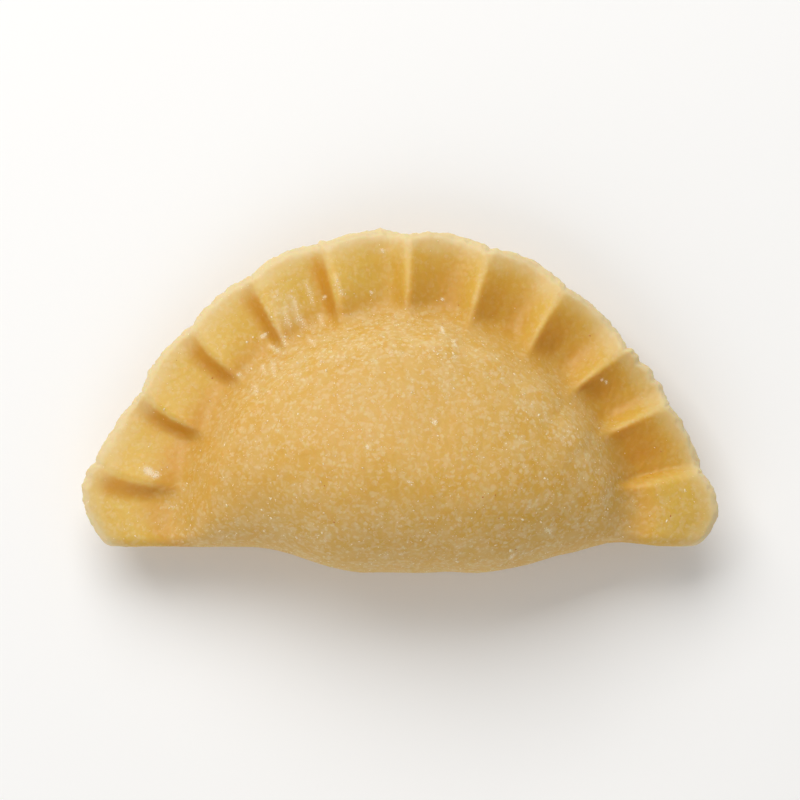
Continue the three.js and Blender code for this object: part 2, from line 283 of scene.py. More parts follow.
def colour(name, description, hex_colour):
    """A colour the user may change, stated here as #RRGGBB."""
    return FloatVectorProperty(
        name=name, description=description, default=linear(hex_colour), subtype="COLOR", min=0, max=1
    )


class PierogiSizes(bpy.types.PropertyGroup):
    """The dumpling's own sizes."""

    rim_radius: length("Rim radius", "From the middle of the fold to the cut edge", 43.3)
    rim_width: length("Rim width", "From the cut edge to the belly", 9)
    rim_thickness: length("Rim thickness", "Both sheets together, beside the belly", 3.3)
    edge_thickness: length("Edge thickness", "Both sheets together, beside the bevel", 2.6)
    bevel_width: length("Bevel width", "Width of the slope down to the cut edge", 0.7)
    ear_bevel: length("Ear bevel", "How much wider the slope is at the left ear", 1.5)
    cut_edge: length("Cut edge", "Height of the blunt cut edge", 1.4)
    rim_droop: length("Rim droop", "How far the rim hangs at its edge", 0.9)
    crimp_at_edge: length("Crimp depth at the edge", "From line to valley, at the cut edge", 1.4)
    crimp_at_belly: length("Crimp depth at the belly", "From line to valley, beside the belly", 2.8)
    belly_radius: length("Belly radius", "Radius of the belly's base", 34.6)
    upper_rise: length("Upper rise", "Height of the belly over the rim", 16)
    lower_rise: length("Lower rise", "Depth of the belly before it sags flat", 16)
    sag_depth: length("Sag depth", "Depth of the resting spot under the rim", 8.6)
    lump_height: length("Lump height", "Soft unevenness of the belly", 0.07)
    pore_height: length("Pore height", "Fine unevenness of the dough", 0.022)


class PierogiColours(bpy.types.PropertyGroup):
    """Colours of the dough and of what is dusted on it."""

    belly_dough: colour("Belly dough", "Stretched dough over the filling", "#D4A540")
    rim_dough: colour("Rim dough", "Pressed double dough of the rim", "#D7B040")
    # Bare dough, and also the painted shade: the darker orange laid in the valleys, on the lee slopes and
    # at the belly's foot.
    pocket_dough: colour("Pocket dough", "Bare dough in the valleys beside the belly", "#CB8C18")
    # The dry cut edge, and also the painted highlight along the raised lines.
    cut_dough: colour("Cut dough", "Dry cut edge", "#E0D0A2")
    damp_flour: colour("Damp flour", "Flour that the dough has wetted", "#DFC797")
    flour: colour("Flour", "Dry wheat flour and semolina", "#F8E9C4")
    bran: colour("Bran", "Specks of bran in the dough", "#A8622A")
    paper: colour("Paper", "Studio paper under the dumpling", "#FAF9F7")


class PierogiFlour(bpy.types.PropertyGroup):
    """How much flour lies on the dough."""

    dust_count: IntProperty(name="Dust grains", description="Number of fine grains", default=3800, min=0)
    semolina_count: IntProperty(
        name="Semolina grains", description="Number of coarse grains", default=260, min=0
    )
    bran_count: IntProperty(name="Bran specks", description="Number of bran specks", default=22, min=0)
    dust_length: length("Dust length", "Middle length of a fine grain", 0.15)
    semolina_length: length("Semolina length", "Middle length of a coarse grain", 0.3)
    bran_length: length("Bran length", "Middle length of a bran speck", 0.26)
    seed: IntProperty(name="Seed", description="Start of the random draws", default=11, min=0)


class PierogiStage(bpy.types.PropertyGroup):
    """Camera, lights and floor."""

    elevation: FloatProperty(
        name="Camera elevation", description="Angle of the view over the floor",
        default=math.radians(88), unit="ROTATION", subtype="ANGLE",
    )
    distance: length("Camera distance", "From the dumpling's middle to the camera", 560)
    lens: FloatProperty(name="Lens", description="Focal length in millimetres", default=180, min=20)
    key_power: FloatProperty(
        name="Key light", description="Power of the softbox", default=6.5, unit="POWER"
    )
    fill_power: FloatProperty(
        name="Fill light", description="Power of the fill panel", default=1.95, unit="POWER"
    )
    room_light: FloatProperty(
        name="Room light", description="Brightness of the white room around", default=0.34, min=0
    )
    floor_radius: length("Floor radius", "Radius of the studio paper", 3000)


def in_mm(group):
    """The lengths of a property group, in millimetres."""
    return SimpleNamespace(**{name: getattr(group, name) / MM for name in group.__annotations__})


# ---- Shape ------------------------------------------------------------------------------------


def smooth_step(low, high, value):
    """0 at low, 1 at high and smooth between them. High may be the smaller of the two."""
    share = np.clip((value - low) / (high - low), 0, 1)
    return share * share * (3 - 2 * share)


def bump(distance):
    """1 at distance 0, fading to nothing by about 2."""
    return np.exp(-distance * distance)


def ripple(points, wavelength, seed, parts=24):
    """Soft unevenness between about -1 and 1, with its hills about one wavelength apart."""
    draw = np.random.default_rng(seed)
    directions = draw.normal(size=(parts, points.shape[1]))
    directions /= np.linalg.norm(directions, axis=1, keepdims=True)
    steps = 2 * math.pi / wavelength * draw.uniform(0.7, 1.4, parts)
    phases = draw.uniform(0, 2 * math.pi, parts)
    return np.sin(points @ (directions * steps[:, None]).T + phases).sum(1) / math.sqrt(2 * parts)


def waves(points, table):
    """Waves of these shares, distances from hill to hill and seeds, added up."""
    return sum(share * ripple(points, length, seed) for share, length, seed in table)


def grown(stretch, angle):
    """What grows from one angle to another, and is gone again at a third."""
    growth = smooth_step(stretch.begin, stretch.full, angle)
    return stretch.most * growth * smooth_step(stretch.gone, stretch.full_to, angle)


def blended_minimum(first, second, blend):
    """The smaller of two heights, with a rounded change."""
    closeness = np.maximum(0, blend - np.abs(first - second)) / blend
    return np.minimum(first, second) - closeness * closeness * blend / 4


def pleat_phase(angle):
    """Where an angle lies in its pleat: 0 at one raised line and 1 at the next."""
    index = np.clip(np.searchsorted(CRIMP_ANGLES, angle, side="right") - 1, 0, len(CRIMP_ANGLES) - 2)
    return (angle - CRIMP_ANGLES[index]) / (CRIMP_ANGLES[index + 1] - CRIMP_ANGLES[index])


def trough(phase, valley, drop_curve, rise_curve):
    """A drop from one raised line, a round valley, and a rise to the next line."""
    drop = np.maximum(0, 1 - phase / valley) ** drop_curve
    rise = np.maximum(0, (phase - valley) / (1 - valley)) ** rise_curve
    return np.where(phase < valley, drop, rise)


def from_ear(angle):
    """0 beside the right ear, growing to 1 where the right pleats are even."""
    return smooth_step(EAR_PLEAT.full_at, EAR_PLEAT.gone_at, angle)


def ear_depth(ear, angle):
    """How deep the pleats are at an ear, as a share of their depth beyond it."""
    return ear.share + (1 - ear.share) * smooth_step(ear.at, ear.gone_at, angle)


def pleat_height(angle):
    """The pleats' height, with the raised lines rounded as soft dough is."""
    phase = pleat_phase(angle)
    to_left = smooth_step(RIGHT_PLEATS_TO, LEFT_PLEATS_FROM, angle)
    valley = EAR_PLEAT.valley + (RIGHT_PLEAT.valley - EAR_PLEAT.valley) * from_ear(angle)
    rise_curve = EAR_PLEAT.rise_curve + (RIGHT_PLEAT.rise_curve - EAR_PLEAT.rise_curve) * from_ear(angle)
    height = 0
    for offset, share in ROUNDING:
        near = (phase + offset) % 1
        right = trough(near, valley, RIGHT_PLEAT.drop_curve, rise_curve)
        left = trough(near, LEFT_PLEAT.valley, LEFT_PLEAT.drop_curve, LEFT_PLEAT.rise_curve)
        height = height + share * ((1 - to_left) * right + to_left * left)
    return 1 - ear_depth(RIGHT_EAR_DEPTH, angle) * ear_depth(LEFT_EAR_DEPTH, angle) * (1 - height)


def lee_shade(angle):
    """Painted shade on the steep side of each raised line, which looks away from the rim's top and from the
    light: 0 to 1.
    """
    phase = pleat_phase(angle)
    to_left = smooth_step(RIGHT_PLEATS_TO, LEFT_PLEATS_FROM, angle)
    begin = RIGHT_LEE.begin * from_ear(angle)
    right = smooth_step(begin, begin + RIGHT_LEE.growth, phase) * smooth_step(1, RIGHT_LEE.full_to, phase)
    right = right * smooth_step(RIGHT_LEE.from_angle, RIGHT_LEE.full_from, angle)
    right = right * (1 - FAINTER_LEE.share * smooth_step(FAINTER_LEE.begin, FAINTER_LEE.full, angle))
    left = smooth_step(0, LEFT_LEE.full, phase) * smooth_step(LEFT_LEE.gone, LEFT_LEE.full_to, phase)
    left = left * smooth_step(LEFT_LEE.gone_at_angle, LEFT_LEE.full_to_angle, angle)
    return (1 - to_left) * right + to_left * left


def corner_cut(ear, from_tip):
    """How much the round corner takes off the outline, where the cut edge meets the fold."""
    return ear.corner * (1 - np.sqrt(1 - np.clip(1 - from_tip / ear.corner_angle, 0, 1) ** 2))


def outline_radius(angle, size):
    """The cut edge's distance from the middle of the fold line."""
    ears = sum(ear.reach * bump((angle - ear.angle) / ear.spread) for ear in (RIGHT_EAR, LEFT_EAR))
    corners = corner_cut(RIGHT_EAR, angle) + corner_cut(LEFT_EAR, 180 - angle)
    flats = sum(flat.depth * bump((angle - flat.angle) / flat.spread) for flat in (RIGHT_FLAT, LEFT_FLAT))
    roundness = np.maximum(0, np.sin(math.pi * np.clip(pleat_phase(angle), 0, 1))) ** SCALLOP_CURVE
    return size.rim_radius + ears - corners + grown(SCALLOP, angle) * (roundness - 0.5) - flats


def fold_line(x):
    """The fold's lower edge, seen square to the rim."""
    swell = smooth_step(SWELL_FROM, SWELL_FULL_FROM, x) * smooth_step(SWELL_TO, SWELL_FULL_TO, x)
    return EAR_EDGE - FOLD_SWELL * swell + RIGHT_NOTCH.rise * bump((x - RIGHT_NOTCH.x) / RIGHT_NOTCH.spread)


def fold_turn(x):
    """How round the dough turns over at the fold: a tight crease at the ears, wide at the belly."""
    towards_ear = smooth_step(BELLY_TURN_WITHIN, EAR_TURN_BEYOND, np.abs(x - BELLY_TURN_MIDDLE))
    return BELLY_TURN + (EAR_TURN - BELLY_TURN) * towards_ear


def line_turn(from_edge, angle, size):
    """How far a point of the rim is turned from its own angle, in degrees."""
    inward = from_edge / size.rim_width
    outward = np.maximum(0, 1 - inward) ** 2
    bowed = np.sin(math.pi * np.minimum(BOW_PEAK, inward)) * smooth_step(BOW_GONE, BOW_PEAK, inward)
    bend = grown(BEND_LEFT, angle) + grown(BEND_RIGHT, angle)
    bow = grown(BOW_LEFT, angle) + grown(BOW_EAR, angle)
    return bow * bowed - bend * outward


def plan_points(from_edge, angle, size):
    """Where points of the unfolded round come to lie, seen from above, and how far from the fold."""
    radius = outline_radius(angle, size) * (1 - from_edge / size.rim_radius)
    turned = np.radians(angle + line_turn(from_edge, angle, size))
    x = radius * np.cos(turned)
    across = radius * np.sin(turned)
    turn = fold_turn(x)
    near = bump(across / (FOLD_REACH * turn + LEAST_FOLD_REACH))
    y = np.hypot(across, turn) - turn * near + fold_line(x) * near
    return x, y, np.maximum(0, y - fold_line(x))


def belly_share(x, y, from_fold, from_edge, angle, size):
    """The belly's swell as a share of its full rise: 0 on the rim, rounded over at the fold."""
    pinch = PINCH * smooth_step(PINCH_GONE_BEYOND, PINCH_FULL_WITHIN, from_edge)
    pinch = pinch * (pleat_height(angle) - CRIMP_MIDDLE)
    around = np.arctan2(np.maximum(0, y), x)
    pinch = pinch * smooth_step(PINCH_FROM_FOLD, PINCH_FULL_FROM_FOLD, y)
    base = size.belly_radius + BASE_SKEW * np.cos(around) - pinch
    reach = np.minimum(1, np.hypot(x, y) / base)
    dome = (1 - reach**FULLNESS) ** WALL_CURVE * smooth_step(0, FILLET, 1 - reach)
    over_fold = np.sqrt(1 - (1 - np.minimum(1, from_fold / FOLD_ROUNDING)) ** 2)
    hills = np.sin(x / UNEVEN.length + UNEVEN.shift) * np.cos(y / UNEVEN.width)
    return dome * over_fold * (1 + UNEVEN.share * hills)


def crimp_rise(from_edge, angle, size):
    """The rim's middle height: its raised lines and valleys, and how it droops at the edge."""
    inward = smooth_step(0, CRIMP_FULL_WITHIN, from_edge)
    towards_left = smooth_step(LEFT_EDGE.begin, LEFT_EDGE.full, angle)
    at_edge = size.crimp_at_edge * (1 - (1 - LEFT_EDGE.share) * towards_left)
    depth = at_edge + (size.crimp_at_belly - at_edge) * inward
    fade = smooth_step(CRIMP_GONE_BEYOND, CRIMP_FULL_WITHIN, from_edge)
    droop = size.rim_droop * np.maximum(0, 1 - from_edge / size.rim_width) ** 2
    ear_edge = np.maximum(0, 1 - from_edge / LEFT_EAR_DROOP.width) ** LEFT_EAR_DROOP.curve
    ear_edge = ear_edge * bump((angle - LEFT_EAR_DROOP.angle) / LEFT_EAR_DROOP.spread)
    return depth * fade * (pleat_height(angle) - CRIMP_MIDDLE) - droop - LEFT_EAR_DROOP.depth * ear_edge


def bevel_widths(angle, size):
    """How wide the slope to the cut edge is: narrow, but broad where the left ear was pinched."""
    return size.bevel_width + size.ear_bevel * bump((angle - LEFT_EAR_BEVEL.angle) / LEFT_EAR_BEVEL.spread)


def half_thickness(from_fold, from_edge, angle, size):
    """Half the rim's thickness, thinner at the bevel and none at the crease of the fold."""
    inward = smooth_step(0, size.rim_width, from_edge)
    thickness = size.edge_thickness + (size.rim_thickness - size.edge_thickness) * inward
    bevel = np.maximum(0, 1 - from_edge / bevel_widths(angle, size)) ** BEVEL_CURVE
    flat = thickness / 2 + (size.cut_edge / 2 - thickness / 2) * bevel
    return flat * np.sqrt(1 - (1 - np.minimum(1, from_fold / CREASE_RADIUS)) ** 2)


def skin_points(from_edge, angle, side, size):
    """Points of the skin in millimetres: side is 1 on the upper sheet and -1 on the lower one."""
    x, y, from_fold = plan_points(from_edge, angle, size)
    share = belly_share(x, y, from_fold, from_edge, angle, size)
    rim = crimp_rise(from_edge, angle, size) + side * half_thickness(from_fold, from_edge, angle, size)
    sag = np.maximum(0, blended_minimum(size.lower_rise * share, size.sag_depth, SAG_BLEND))
    z = rim + np.where(side > 0, size.upper_rise * share, -sag)
    return np.column_stack([x, y, z])


def column_angles():
    """The angles of the mesh's columns over one sheet, from tip to tip."""
    even = np.linspace(0, 1, COLUMNS_PER_PLEAT, endpoint=False)
    steps = np.interp(even, np.linspace(0, 1, len(PANEL_STEPS)), PANEL_STEPS)
    lines = np.clip(CRIMP_ANGLES, 0, 180)
    pleats = [
        low + (high - low) * (even if low == 0 or high == 180 else steps)
        for low, high in zip(lines[:-1], lines[1:])
    ]
    return np.append(np.concatenate(pleats), 180)


def join_rows(outer, inner):
    """Triangles between two closed rows of vertices, where the outer has one or two for each inner."""
    ratio = len(outer) // len(inner)
    after = np.roll(inner, -1)
    first, between = outer[::ratio], np.roll(outer, -1)[::ratio]
    faces = [np.column_stack([first, between, inner]), np.column_stack([inner, between, after])]
    if ratio == 2:
        faces.append(np.column_stack([between, np.roll(first, -1), after]))
    return np.concatenate(faces)


def skin_mesh(size):
    """The whole skin: its vertices in millimetres, its triangles, and each vertex's place on the dough."""
    angles = column_angles()
    rows = []
    places = []
    total = 0
    for stride, distances in ((1, FINE_ROWS), (2, MIDDLE_ROWS), (4, COARSE_ROWS)):
        over = angles[::stride]
        angle = np.concatenate([over, over[-2:0:-1]])
        side = np.ones(len(angle))
        side[len(over) :] = -1
        side[[0, len(over) - 1]] = 0
        for from_edge in distances:
            rows.append(np.arange(total, total + len(angle)))
            places.append(np.column_stack([np.full(len(angle), from_edge), angle, side]))
            total += len(angle)
    faces = [join_rows(outer, inner) for outer, inner in zip(rows[:-1], rows[1:])]
    places.append([[size.rim_radius, 90, 0]])
    last = rows[-1]
    faces.append(np.column_stack([last, np.roll(last, -1), np.full(len(last), total)]))
    places = np.concatenate(places)
    points = skin_points(*places.T, size)
    points, places, edge_faces = with_cut_edge(points, places, rows[0])
    faces = np.concatenate([*faces, edge_faces])
    whole = (faces[:, 0] != faces[:, 1]) & (faces[:, 1] != faces[:, 2]) & (faces[:, 0] != faces[:, 2])
    return points, faces[whole], places


def with_cut_edge(points, places, outermost):
    """Adds the blunt cut edge between the sheets: rows of vertices and the triangles that join them."""
    total = len(points)
    faces = []
    half = len(outermost) // 2
    upper = outermost[: half + 1]
    lower = np.append(outermost[0], outermost[: half - 1 : -1])
    strips = [upper]
    for row in range(1, CUT_EDGE_ROWS):
        share = row / CUT_EDGE_ROWS
        mid = points[upper] * (1 - share) + points[lower] * share
        outward = mid[:, :2] / np.linalg.norm(mid[:, :2], axis=1, keepdims=True)
        mid[:, :2] += outward * CUT_EDGE_BULGE * math.sin(math.pi * share)
        strips.append(np.concatenate([upper[:1], np.arange(total, total + half - 1), upper[-1:]]))
        points = np.concatenate([points, mid[1:-1]])
        between = np.column_stack([places[upper, :2], np.full(half + 1, 1 - 2 * share)])
        places = np.concatenate([places, between[1:-1]])
        total += half - 1
    strips.append(lower)
    for above, below in zip(strips[:-1], strips[1:]):
        faces.append(np.column_stack([above[:-1], below[:-1], above[1:]]))
        faces.append(np.column_stack([below[:-1], below[1:], above[1:]]))
    return points, places, np.concatenate(faces)


def vertex_normals(points, faces):
    """The outward direction at each vertex, from the triangles around it."""
    corners = points[faces]
    across = np.cross(corners[:, 1] - corners[:, 0], corners[:, 2] - corners[:, 0])
    normals = np.zeros_like(points)
    for corner in range(3):
        np.add.at(normals, faces[:, corner], across)
    return normals / np.maximum(np.linalg.norm(normals, axis=1, keepdims=True), 1e-12)


def rough_skin(points, faces, places, size):
    """The skin with the unevenness of soft dough: lumps, pores and a ragged cut edge."""
    normals = vertex_normals(points, faces)
    from_edge, angle = places[:, 0], places[:, 1]
    in_belly = smooth_step(LUMPS_GROW_FROM, LUMPS_FULL_FROM, from_edge)
    at_edge = smooth_step(RAGGED_GONE_BEYOND, RAGGED_WITHIN, from_edge)
    lumps = (LUMPS_ON_RIM + in_belly) * ripple(points, *LUMPS) + DIMPLE_SHARE * ripple(points, *DIMPLES)
    relief = size.lump_height * lumps + size.pore_height * waves(points, PORES)
    beyond = np.maximum(0, ripple(points, *CHIPS.long_wave) - CHIPS.limit)
    chips = -CHIPS.depth * beyond * (CHIP_MIDDLE + CHIP_VARIETY * ripple(points, *CHIPS.fine_wave))
    marks = sum(depth * bump((angle - at) / spread) for at, depth, spread in EDGE_MARKS)
    moved = points + normals * relief[:, None]
    outward = points[:, :2] / np.maximum(1, np.linalg.norm(points[:, :2], axis=1, keepdims=True))
    from_tip = np.minimum(angle, 180 - angle)
    between_tips = smooth_step(RAGGED_FROM_TIP, RAGGED_FULL_FROM_TIP, from_tip)
    ragged = at_edge * between_tips * (waves(points, RAGGED_EDGE) + chips + marks)
    moved[:, :2] += outward * ragged[:, None]
    floor = points[:, 2].min()
    resting = (places[:, 2] < 0) & (points[:, 2] < floor + 1e-6)
    moved[resting, 2] = points[resting, 2]
    moved[:, 2] = np.maximum(moved[:, 2], floor)
    return moved


def lie_in_box(points, reference):
    """The points in metres, moved and stretched as takes the reference points to the solid's box."""
    low, high = (np.array(corner) for corner in CAD_BOX)
    scale = (high - low) / (reference.max(0) - reference.min(0))
    return (points - reference.min(0)) * scale + low


# ---- Objects and materials --------------------------------------------------------------------


def new_object(name, points, faces, material):
    """A smooth-shaded mesh object in the scene, from points in metres."""
    mesh = bpy.data.meshes.new(name)
    mesh.from_pydata(points.tolist(), [], faces.tolist())
    mesh.polygons.foreach_set("use_smooth", [True] * len(mesh.polygons))
    mesh.materials.append(material)
    mesh.update()
    made = bpy.data.objects.new(name, mesh)
    bpy.context.scene.collection.objects.link(made)
    return made


def add_piece(name, points, faces, material):
    """A visible piece that rides on the dumpling's body."""
    piece = new_object(name, points, faces, material)
    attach(piece, BODY)
    return piece


def add_share(piece, name, values):
    """A value for each vertex, which the material reads by its name."""
    layer = piece.data.attributes.new(name, "FLOAT", "POINT")
    layer.data.foreach_set("value", np.ascontiguousarray(values, dtype=np.float32))


def add_node(tree, kind, settings=None, links=None):
    """Adds a node, sets its own values and its sockets by name or number, and links its inputs."""
    node = tree.nodes.new(kind)
    for key, value in (settings or {}).items():
        if isinstance(key, int) or key in node.inputs:
            node.inputs[key].default_value = value
        else:
            setattr(node, key, value)
    for key, source in (links or {}).items():
        tree.links.new(source, node.inputs[key])
    return node


def new_material(name):
    material = bpy.data.materials.new(name)
    material.use_nodes = True
    material.node_tree.nodes.clear()
    return material, material.node_tree


def per_metre(size_mm):
    """The scale that makes a texture's features about this size."""
    return 1 / (size_mm * MM)


def with_alpha(rgb):
    return (*rgb, 1)


def pressed_egg_dough(colours):
    """Raw wheat and egg dough, sheeted and pressed. Matt and slightly waxy: light soaks in and comes out
    yellower. The valleys are painted a darker orange, partly for bare dough and partly as painted shade,
    with painted shade on the lee slopes and at the belly's foot, while the floured belly stays pale."""
    material, tree = new_material("pressed_raw_egg_dough")
    place = add_node(tree, "ShaderNodeTexCoord").outputs["Object"]
    share = {
        name: add_node(tree, "ShaderNodeAttribute", {"attribute_name": name}).outputs["Fac"]
        for name in ("rim_share", "bare_and_shade", "crest_highlight", "outer_rim", "cut_edge", "flour", "caked")
    }
    noise = {
        name: add_node(
            tree, "ShaderNodeTexNoise",
            {"Scale": per_metre(size_mm), "Detail": detail, "Distortion": distortion}, {"Vector": place},
        ).outputs
        for name, (size_mm, detail, distortion) in DOUGH_NOISES.items()
    }
    swayed = add_node(
        tree, "ShaderNodeVectorMath", {"operation": "MULTIPLY_ADD", 1: (FLECK_SWAY * MM,) * 3},
        {0: noise["sway"]["Color"], 2: place},
    ).outputs[0]
    cell = add_node(
        tree, "ShaderNodeTexVoronoi", {"Scale": per_metre(FLECK_SPACING)}, {"Vector": swayed}
    ).outputs
    # Each pattern's stretch between these two values is spread over 0 to 1, with soft ends.
    stretches = (
        ("patches", noise["patches"]["Fac"], 0.3, 0.7),
        ("mottle", noise["mottle"]["Fac"], 0.35, 0.68),
        ("cover", noise["film"]["Fac"], 0.25, 0.75),
        ("curls", noise["curls"]["Fac"], 0.45, 0.75),
        ("gaps", noise["gaps"]["Fac"], 0.25, 0.5),
        ("dots", cell["Distance"], 0.62, 0.1),
        ("some", cell["Color"], 0.3, 0.7),
    )
    for name, source, low, high in stretches:
        settings = {"interpolation_type": "SMOOTHSTEP", "From Min": low, "From Max": high}
        share[name] = add_node(tree, "ShaderNodeMapRange", settings, {"Value": source}).outputs[0]
    # Flour: a thin film, soft flecks where it clung to damp dough and fewer in the bare valleys and under
    # the painted shade, and dry flour caked in clumps and streaks. The more there is, the duller the dough.
    sums = (
        ("film", "MULTIPLY", "flour", "cover"),
        ("dots", "MULTIPLY", "dots", "some"),
        ("curls", "MULTIPLY", "curls", 0.7),
        ("flecks", "MAXIMUM", "curls", "dots"),
        ("clinging", "MULTIPLY_ADD", "flour", 0.65, 0.25),
        ("dusty", "MULTIPLY_ADD", "bare_and_shade", -0.7, 1),
        ("flecks", "MULTIPLY", "flecks", "clinging"),
        ("flecks", "MULTIPLY", "flecks", "dusty"),
        ("caked", "MULTIPLY", "caked", "gaps"),
        ("dull", "MAXIMUM", "film", "flecks"),
        ("roughness", "MULTIPLY_ADD", "dull", 0.3, 0.5),
    )
    for name, operation, *terms in sums:
        settings = {slot: term for slot, term in enumerate(terms) if term not in share}
        links = {slot: share[term] for slot, term in enumerate(terms) if term in share}
        settings["operation"] = operation
        share[name] = add_node(tree, "ShaderNodeMath", settings, links).outputs[0]
    settings = {
        "data_type": "RGBA", 6: with_alpha(colours.belly_dough), 7: with_alpha(colours.rim_dough)
    }
    dough = add_node(tree, "ShaderNodeMix", settings, {0: share["rim_share"]}).outputs[2]
    # What tints the dough, one over the other: a darker orange that is bare dough in the valleys and
    # painted shade there, on the lee slopes and at the belly's foot. The rim dries paler outwards, most at
    # its rough cut lip, and a painted highlight runs as a pale line along the raised lines.
    layers = (
        ("patches", 0.08, colours.pocket_dough),
        # Darker orange: bare dough in the valleys, and painted shade there, on the lee slopes and at the
        # belly's foot.
        ("bare_and_shade", 0.92, colours.pocket_dough),
        ("mottle", 0.14, colours.pocket_dough),
        ("outer_rim", 0.4, colours.cut_dough),
        ("cut_edge", 0.7, colours.cut_dough),
        # Painted highlight: a thin pale line along each raised line.
        ("crest_highlight", 0.1, colours.cut_dough),
        ("film", 0.4, colours.damp_flour),
        ("flecks", 1, colours.damp_flour),
        ("caked", 1, colours.flour),
    )
    for name, most, tint in layers:
        part = add_node(tree, "ShaderNodeMath", {"operation": "MULTIPLY", 1: most}, {0: share[name]})
        settings = {"data_type": "RGBA", 7: with_alpha(tint)}
        dough = add_node(tree, "ShaderNodeMix", settings, {0: part.outputs[0], 6: dough}).outputs[2]
    grain = add_node(
        tree, "ShaderNodeBump", {"Strength": 0.18, "Distance": 0.05 * MM}, {"Height": noise["grain"]["Fac"]}
    ).outputs[0]
    settings = {
        "IOR": 1.45,
        "Subsurface Weight": 0.45,
        "Subsurface Radius": (1.0, 0.42, 0.14),
        "Subsurface Scale": 2.6 * MM,
        "Specular IOR Level": 0.6,
    }
    links = {"Base Color": dough, "Roughness": share["roughness"], "Normal": grain}
    shader = add_node(tree, "ShaderNodeBsdfPrincipled", settings, links)
    add_node(tree, "ShaderNodeOutputMaterial", links={"Surface": shader.outputs[0]})
    return material


def milled_flour(colours):
    """Wheat flour and semolina grains, milled. Dry and chalky, so they show as pale matt specks."""
    material, tree = new_material("milled_wheat_flour")
    place = add_node(tree, "ShaderNodeTexCoord").outputs["Object"]
    settings = {"Scale": per_metre(1.4), "Detail": 2}
    noise = add_node(tree, "ShaderNodeTexNoise", settings, {"Vector": place}).outputs["Fac"]
    settings = {"interpolation_type": "SMOOTHSTEP", "From Min": 0.35, "From Max": 0.65}
    tone = add_node(tree, "ShaderNodeMapRange", settings, {"Value": noise}).outputs[0]
    warm = with_alpha([channel * kept for channel, kept in zip(colours.flour, (0.95, 0.9, 0.8))])
    settings = {"data_type": "RGBA", 6: warm, 7: with_alpha(colours.flour)}
    base = add_node(tree, "ShaderNodeMix", settings, {0: tone}).outputs[2]
    settings = {"Roughness": 0.9, "IOR": 1.45, "Specular IOR Level": 0.25}
    shader = add_node(tree, "ShaderNodeBsdfPrincipled", settings, {"Base Color": base})
    add_node(tree, "ShaderNodeOutputMaterial", links={"Surface": shader.outputs[0]})
    return material


def ground_bran(colours):
    """Flakes of wheat bran, ground. Thin, brown and slightly shiny."""
    material, tree = new_material("ground_wheat_bran")
    place = add_node(tree, "ShaderNodeTexCoord").outputs["Object"]
    settings = {"Scale": per_metre(0.8), "Detail": 1}
    tone = add_node(tree, "ShaderNodeTexNoise", settings, {"Vector": place}).outputs["Fac"]
    light = with_alpha([min(1, channel * 1.7) for channel in colours.bran])
    settings = {"data_type": "RGBA", 6: with_alpha(colours.bran), 7: light}
    base = add_node(tree, "ShaderNodeMix", settings, {0: tone}).outputs[2]
    settings = {"Roughness": 0.5, "IOR": 1.45}
    shader = add_node(tree, "ShaderNodeBsdfPrincipled", settings, {"Base Color": base})
    add_node(tree, "ShaderNodeOutputMaterial", links={"Surface": shader.outputs[0]})
    return material


def studio_paper(colours):
    """Seamless studio paper, calendered. Even, pale and matt, so only the soft shadow shows."""
    material, tree = new_material("calendered_studio_paper")
    settings = {"Base Color": with_alpha(colours.paper), "Roughness": 0.95, "Specular IOR Level": 0.1}
    shader = add_node(tree, "ShaderNodeBsdfPrincipled", settings)
    add_node(tree, "ShaderNodeOutputMaterial", links={"Surface": shader.outputs[0]})
    return material


# ---- Flour on the skin ------------------------------------------------------------------------


def near_spot(points, spot):
    """How near points are to a spot, from 0 to the spot's most."""
    return spot.most * bump((points[:, 0] - spot.x) / spot.along) * bump((points[:, 1] - spot.y) / spot.up)


def near_angle(angle, stretch):
    """How near angles are to the middle of a stretch, from 0 to the stretch's most."""
    return stretch.most * bump((angle - stretch.angle) / stretch.spread)


def flour_density(points, from_edge, angle, side):
    """How thickly flour lies, from 0 to 1: most where the belly meets the rim, little on the rim."""
    in_belly = smooth_step(FLOUR_FROM, FLOUR_FULL, from_edge + waves(points, FLOUR_WAVES))
    at_base = bump((from_edge - BELLY_BASE) / BASE_SPREAD)
    on_belly = FLOUR_ON_BELLY + at_base * sum(near_angle(angle, base) for base in BASE_FLOUR)
    on_belly += sum(near_spot(points, flank) for flank in FLANK_FLOUR) + waves(points, FLOUR_PATCHES)
    by_fold = smooth_step(FOLD_FLOUR.gone_beyond, FOLD_FLOUR.full_within, points[:, 1])
    on_belly += FOLD_FLOUR.most * by_fold
    rubbed = near_angle(angle, RUBBED_FLOUR) * smooth_step(RUBBED_FLOUR.begin, RUBBED_FLOUR.full, from_edge)
    ears = sum(ear.most * smooth_step(ear.begin, ear.full, angle) for ear in EAR_FLOUR)
    on_rim = rubbed + ears + grown(LEFT_RIM_FLOUR, angle)
    above = FLOUR_EVERYWHERE + in_belly * on_belly + (1 - in_belly) * on_rim
    below = FLOUR_UNDERNEATH + in_belly * BELLY_FLOUR_UNDERNEATH
    return np.clip(np.where(side < 0, below, above), LEAST_FLOUR, 1)


